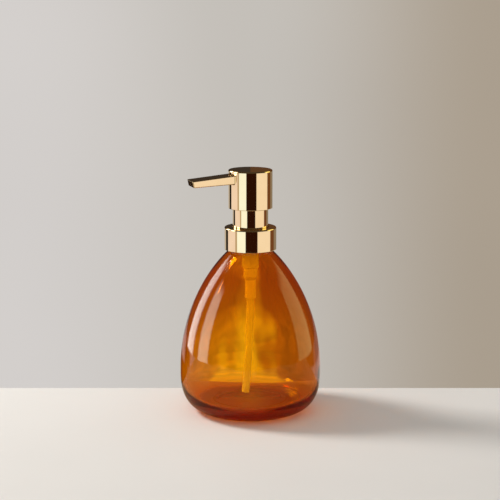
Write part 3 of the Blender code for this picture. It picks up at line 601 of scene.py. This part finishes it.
# ------------------------------------------------------------ return spring
# Drawn stainless wire, wound into an open coil. It stands on the valve cage and pushes
# the piston's post, and with it the head, back up.
dress("return_spring", steel("drawn_steel", (1.0, 1.0, 0.15)))


# ----------------------------------------------------- gasket, guide and seal
# A soft polyethylene gasket seals the flange on the glass. The stem guide above it has
# a tower inside the sleeve, and a cup that holds the soft seal round the stem.
soft = plastic("soft_plastic", (0.74, 0.75, 0.74), (0.82, 0.83, 0.82), 0.52, 0.06)
dress("neck_gasket", soft)
dress("stem_guide", natural)
dress("stem_seal", soft)


# -------------------------------------------------------------------- sleeve
# A drawn aluminium tube with a rounded top edge, polished and anodised gold. It is pushed
# over the guide's tower and covers it between the collar and the head.
METAL_ROUND = 128
EDGE_HOLD = 0.1 * MM


def gold(name, along):
    """Polished gold-anodised aluminium: drifting tone, faint polishing marks and haze."""
    material, nodes, links, shader, place = new_finish(name)
    shader.inputs["Metallic"].default_value = 1.0
    tone = ramp(nodes, [(0.3, (0.93, 0.71, 0.39)), (0.7, (0.97, 0.76, 0.44))])
    links.new(mottle(nodes, links, place, 70.0, 3.0), tone.inputs[0])
    links.new(tone.outputs[0], shader.inputs["Base Color"])
    marks = mottle(nodes, links, stretched(nodes, links, place, along), 700.0, 4.0)
    links.new(span(nodes, links, marks, 0.3, 0.8, 0.015, 0.05), shader.inputs["Roughness"])
    raise_skin(nodes, links, shader, marks, 0.003, 0.05 * MM)
    return material


def held(outline):
    """Adds a point close to each end of every long straight run, so that it shades flat."""
    points = []
    for a, b in zip(outline, outline[1:] + outline[:1]):
        points.append(a)
        reach = math.dist(a, b)
        if reach > 8 * EDGE_HOLD:
            for share in (EDGE_HOLD / reach, 1 - EDGE_HOLD / reach):
                points.append(tuple(p + (q - p) * share for p, q in zip(a, b)))
    return points


def clad(piece, node, body, material):
    """Puts a finished metal piece in place of its CAD node."""
    piece.data.materials.clear()
    piece.data.materials.append(material)
    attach(piece, body)
    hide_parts(node)


turned_gold = gold("gold_metal", (0.4, 0.4, 3.0))
low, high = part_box("sleeve")
SLEEVE_WALL = 0.7 * MM
SLEEVE_LIP = 0.25 * MM
sleeve = lathe("gold_sleeve", held(
    corner_points((high.y - SLEEVE_LIP, high.z - SLEEVE_LIP), SLEEVE_LIP, 90, 0)
    + [(high.y, low.z), (high.y - SLEEVE_WALL, low.z)]
    + corner_points((high.y - SLEEVE_WALL + SLEEVE_LIP, high.z - SLEEVE_LIP), SLEEVE_LIP, 180, 90)),
    METAL_ROUND)
clad(sleeve, "sleeve", "pump", turned_gold)


# ------------------------------------------------------------------- plunger
# The hollow polypropylene stem runs in the guide. A flanged post holds the soft
# two-lipped piston on its lower end, in the barrel.
dress("stem", natural)
dress("piston_post", natural)
dress("piston", soft)


# ---------------------------------------------------------------- screw collar
# A polypropylene cap with the inside thread, and over it a deep-drawn gold shell
# with a rolled top edge and a round hole for the sleeve.
dress("collar_insert", natural)
low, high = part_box("collar_shell")
SHEET = 0.5 * MM
ROLLED_EDGE = 0.8 * MM
COLLAR_HOLE = 11.6 * MM
COLLAR_FILLET = 0.3 * MM
HEM = 0.2 * MM
collar = lathe("gold_collar", held(
    [(COLLAR_HOLE + HEM, high.z)]
    + corner_points((high.y - ROLLED_EDGE, high.z - ROLLED_EDGE), ROLLED_EDGE, 90, 0, 8)
    + corner_points((high.y - HEM, low.z + HEM), HEM, 0, -90, 3)
    + corner_points((high.y - SHEET + HEM, low.z + HEM), HEM, -90, -180, 3)
    + [(high.y - SHEET, high.z - SHEET - COLLAR_FILLET), (high.y - SHEET - COLLAR_FILLET, high.z - SHEET)]
    + [(COLLAR_HOLE, high.z - SHEET), (COLLAR_HOLE, high.z - HEM)]), METAL_ROUND)
clad(collar, "collar_shell", "collar", turned_gold)


# ----------------------------------------------------------------- pump head
# The core is a polypropylene moulding that grips the stem and feeds the spout. A
# deep-drawn gold shell with a small rounded rim covers it, with a window for the spout.
dress("actuator_core", natural)
low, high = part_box("head_shell")
spout_low, spout_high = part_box("spout")
HEAD_RIM = 0.8 * MM
HEAD_FILLET = 0.2 * MM
WINDOW_PAST = 3 * MM                    # how far the cut goes past the shell
WINDOW_END = -8 * MM
WINDOW_CORNER = 0.8 * MM
WINDOW_ROOM = 0.35 * MM
BROAD_FACE = 4 * MM * MM
head_radius = high.y
head = lathe("gold_head", held(
    [(0.0, high.z)]
    + corner_points((head_radius - HEAD_RIM, high.z - HEAD_RIM), HEAD_RIM, 90, 0, 8)
    + corner_points((head_radius - HEM, low.z + HEM), HEM, 0, -90, 3)
    + corner_points((head_radius - SHEET + HEM, low.z + HEM), HEM, -90, -180, 3)
    + [(head_radius - SHEET, high.z - SHEET - HEAD_FILLET),
       (head_radius - SHEET - HEAD_FILLET, high.z - SHEET)]
    + [(0.0, high.z - SHEET)]), METAL_ROUND)

TOP_DROOP = math.radians(5.3)
BOTTOM_DROOP = math.radians(2.6)
TIP_LEAN = 0.9 * MM
root_x, tip_x = spout_high.x, spout_low.x
tip_bottom_x = tip_x + TIP_LEAN
spout_half = spout_high.y


def spout_top(x):
    """Height of the spout's top face at a place along it."""
    return spout_high.z + (x - root_x) * math.tan(TOP_DROOP)


def spout_bottom(x):
    """Height of its underside there."""
    return spout_low.z + (x - tip_bottom_x) * math.tan(BOTTOM_DROOP)


def block(name, corners, edge, segments):
    """A block from its outline in the XZ plane and its two sides in Y, with rounded edges."""
    mesh = bmesh.new()
    ends = []
    for side in (-1, 1):
        ends.append([mesh.verts.new((x, side * half, z)) for x, z, half in corners])
    mesh.faces.new(ends[0])
    mesh.faces.new(reversed(ends[1]))
    for n in range(len(corners)):
        m = (n + 1) % len(corners)
        mesh.faces.new((ends[0][m], ends[0][n], ends[1][n], ends[1][m]))
    bmesh.ops.recalc_face_normals(mesh, faces=mesh.faces)
    bmesh.ops.bevel(mesh, geom=mesh.edges, offset=edge, segments=segments, profile=0.5,
                    affect="EDGES")
    broad = [face for face in mesh.faces if face.calc_area() > BROAD_FACE]
    bmesh.ops.inset_individual(mesh, faces=broad, thickness=EDGE_HOLD)
    return add_object(name, mesh)


def rod(name, start, end, radius, sides=48):
    """A round bar between two points."""
    mesh = bmesh.new()
    along = Vector(end) - Vector(start)
    bmesh.ops.create_cone(mesh, cap_ends=True, segments=sides, radius1=radius, radius2=radius,
                          depth=along.length)
    turn = along.to_track_quat("Z", "Y").to_matrix().to_4x4()
    bmesh.ops.transform(mesh, verts=mesh.verts,
                        matrix=Matrix.Translation((Vector(start) + Vector(end)) / 2) @ turn)
    return add_object(name, mesh)


window_half = spout_half + WINDOW_ROOM
window_floor = spout_bottom(-head_radius) - WINDOW_ROOM
window_roof = spout_top(root_x) + WINDOW_ROOM
carve(head, block("window", [
    (-head_radius - WINDOW_PAST, window_floor, window_half), (WINDOW_END, window_floor, window_half),
    (WINDOW_END, window_roof, window_half), (-head_radius - WINDOW_PAST, window_roof, window_half)],
    WINDOW_CORNER, 4))
clad(head, "head_shell", "head", turned_gold)


# --------------------------------------------------------------------- spout
# A flat gold bar with softened edges, pressed into the core through the shell's window.
# It droops and thins towards the tip, where the soap's channel comes out.
SPOUT_EDGE = 0.45 * MM
CHANNEL = 1.6 * MM
CUT_PAST = 2 * MM
spout = block("gold_spout", [
    (root_x, spout_top(root_x), spout_half), (tip_x, spout_top(tip_x), spout_half),
    (tip_bottom_x, spout_bottom(tip_bottom_x), spout_half),
    (root_x, spout_bottom(root_x), spout_half)], SPOUT_EDGE, 5)


def channel_point(x):
    """A point of the soap channel's middle line."""
    return (x, 0.0, (spout_top(x) + spout_bottom(x)) / 2)


carve(spout, rod("channel", channel_point(root_x + CUT_PAST), channel_point(tip_x - CUT_PAST), CHANNEL))
clad(spout, "spout", "head", gold("gold_bar", (3.0, 0.5, 0.5)))


# --------------------------------------------------------------- spout liner
# A dark moulded plastic tube that lies in the bar's channel and carries the soap from
# the core to the tip.
low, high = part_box("spout_liner")
LINER_BORE = 0.85 * MM
LINER_RADIUS = 1.3 * MM
LINER_BACK = 0.3 * MM
liner = rod("outlet_liner", channel_point(high.x - LINER_BACK), channel_point(tip_bottom_x), LINER_RADIUS)
carve(liner, rod("bore", channel_point(high.x + CUT_PAST), channel_point(tip_x - CUT_PAST), LINER_BORE))
liner.data.materials.clear()
liner.data.materials.append(
    plastic("dark_plastic", (0.020, 0.014, 0.010), (0.045, 0.032, 0.024), 0.42, 0.05))
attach(liner, "head")
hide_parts("spout_liner")
